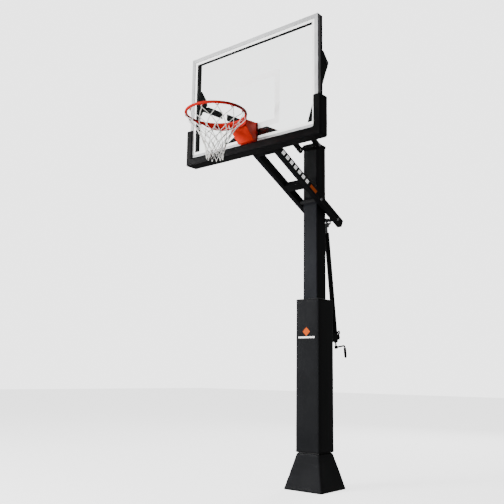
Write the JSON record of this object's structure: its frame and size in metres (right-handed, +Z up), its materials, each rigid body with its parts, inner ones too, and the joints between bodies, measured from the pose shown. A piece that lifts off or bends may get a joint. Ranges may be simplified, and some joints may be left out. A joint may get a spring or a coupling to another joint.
{
  "type": "basketball hoop",
  "caption": "In-ground basketball hoop with a glass board, breakaway rim and net, on a padded square pole with a crank lift that lowers the board on parallel arms.",
  "frame": {"origin": "on the ground at the centre of the pole, on the underside of the base plate", "axes": "+X to the right of someone on the court who faces the board, +Y away from the court, +Z up the pole"},
  "size_m": [1.456, 2.1963, 3.861],
  "materials": {
    "black_steel": "satin black powder coat",
    "pole_paint": "satin dark grey-black powder coat",
    "black_plastic": "moulded black plastic",
    "pad_vinyl": "black vinyl-coated foam with a fine grain",
    "zinc_steel": "bright zinc plate",
    "bush_nylon": "natural nylon",
    "bronze": "sintered bronze",
    "tempered_glass": "clear tempered glass",
    "black_rubber": "black rubber",
    "silver_aluminium": "satin anodised",
    "rim_red": "gloss red-orange powder coat",
    "cover_red": "gloss orange-red powder coat",
    "net_cord": "white braided polyester cord",
    "white_paint": "white screen-printed enamel",
    "accent_orange": "orange printed vinyl"
  },
  "bodies": {
    "post": {"base_plate": "black_steel", "pole": "pole_paint", "pole_cap": "black_plastic", "foot_cover": "pad_vinyl", "pole_pad": "pad_vinyl", "pad_straps": "black_plastic", "lower_pivot_sleeve": "zinc_steel", "upper_pivot_sleeve": "black_steel", "pole_pivot_bolts": "zinc_steel", "actuator_bracket": "black_steel", "lift_stop": "zinc_steel"},
    "lower_arms": {"lower_arm_right": "black_steel", "lower_arm_left": "black_steel", "arm_cross_front": "black_steel", "arm_cross_mid": "black_steel", "arm_end_caps": "black_plastic", "lower_arm_bushes": "bush_nylon", "actuator_pin": "zinc_steel"},
    "upper_arms": {"upper_fork": "black_steel", "upper_arm_bushes": "bush_nylon", "strut_right": "black_steel", "strut_left": "black_steel"},
    "board": {"glass_panel": "tempered_glass", "glass_gasket": "black_rubber", "rim_backing": "black_steel", "glass_spacers": "black_rubber", "lower_brackets": "black_steel", "board_pivot_sleeve": "black_steel", "side_bracket_right": "black_steel", "side_bracket_left": "black_steel", "board_pivot_bolts": "zinc_steel", "board_pad_bottom": "pad_vinyl", "board_pad_right": "pad_vinyl", "board_pad_left": "pad_vinyl", "rim_mount": "rim_red", "rim_bolts": "zinc_steel", "rim_hinge_pin": "zinc_steel", "spring_bolts": "zinc_steel", "board_frame_top": "silver_aluminium", "board_frame_bottom": "silver_aluminium", "board_frame_left": "silver_aluminium", "board_frame_right": "silver_aluminium", "rear_frame_top": "black_steel", "rear_frame_bottom": "black_steel", "rear_frame_left": "black_steel", "rear_frame_right": "black_steel"},
    "rim": {"rim_carrier": "rim_red", "rim_springs": "zinc_steel", "rim_ring": "rim_red", "rim_cover": "cover_red", "net_hooks": "rim_red", "net": "net_cord"},
    "jack_tube": {"actuator_tube": "black_steel", "tube_guide": "bush_nylon", "screw_bearing": "bronze"},
    "jack_rod": {"actuator_rod": "zinc_steel", "drive_nut": "bronze"},
    "crank": {"drive_screw": "zinc_steel", "crank_arm": "black_steel"},
    "grip": {"crank_grip": "black_rubber"}
  },
  "joints": [
    {"name": "lift", "type": "hinge", "parent": "post", "child": "lower_arms", "pos_m": [0, -0.095, 2.585], "axis": [1, 0, 0], "range_deg": [0, 53]},
    {"name": "upper_arm_swing", "type": "hinge", "parent": "post", "child": "upper_arms", "pos_m": [0, -0.095, 3.115], "axis": [1, 0, 0], "range_deg": [0, 53]},
    {"name": "board_level", "type": "hinge", "parent": "lower_arms", "child": "board", "pos_m": [0, -0.855, 2.948], "axis": [1, 0, 0], "range_deg": [-53, 0]},
    {"name": "rim_breakaway", "type": "hinge", "parent": "board", "child": "rim", "pos_m": [0, -1.014, 2.924], "axis": [1, 0, 0], "range_deg": [0, 15], "stiffness_Nm_per_rad": 500, "springref_deg": -14.32, "deforming": ["rim_springs"]},
    {"name": "jack_swing", "type": "hinge", "parent": "post", "child": "jack_tube", "pos_m": [0, 0.348, 1.345], "axis": [1, 0, 0], "range_deg": [-1.45, 0]},
    {"name": "jack_extend", "type": "slide", "parent": "jack_tube", "child": "jack_rod", "axis": [0, -0.1416, 0.9899], "range_m": [0, 0.2803]},
    {"name": "crank_turn", "type": "hinge", "parent": "jack_tube", "child": "crank", "pos_m": [0, 0.348, 1.345], "axis": [0, -0.1416, 0.9899], "range_deg": [0, 5040]},
    {"name": "grip_spin", "type": "hinge", "parent": "crank", "child": "grip", "pos_m": [0, 0.52536, 1.20672], "axis": [0, -0.1416, 0.9899], "continuous": true}
  ],
  "couplings": [
    {"joint": "upper_arm_swing", "follows": "lift", "ratio": 1},
    {"joint": "board_level", "follows": "lift", "ratio": -1},
    {"joint": "jack_swing", "follows": "lift", "ratio": -0.027271},
    {"joint": "jack_extend", "follows": "lift", "m_per_rad": 0.30295},
    {"joint": "crank_turn", "follows": "lift", "ratio": 95.094}
  ]
}
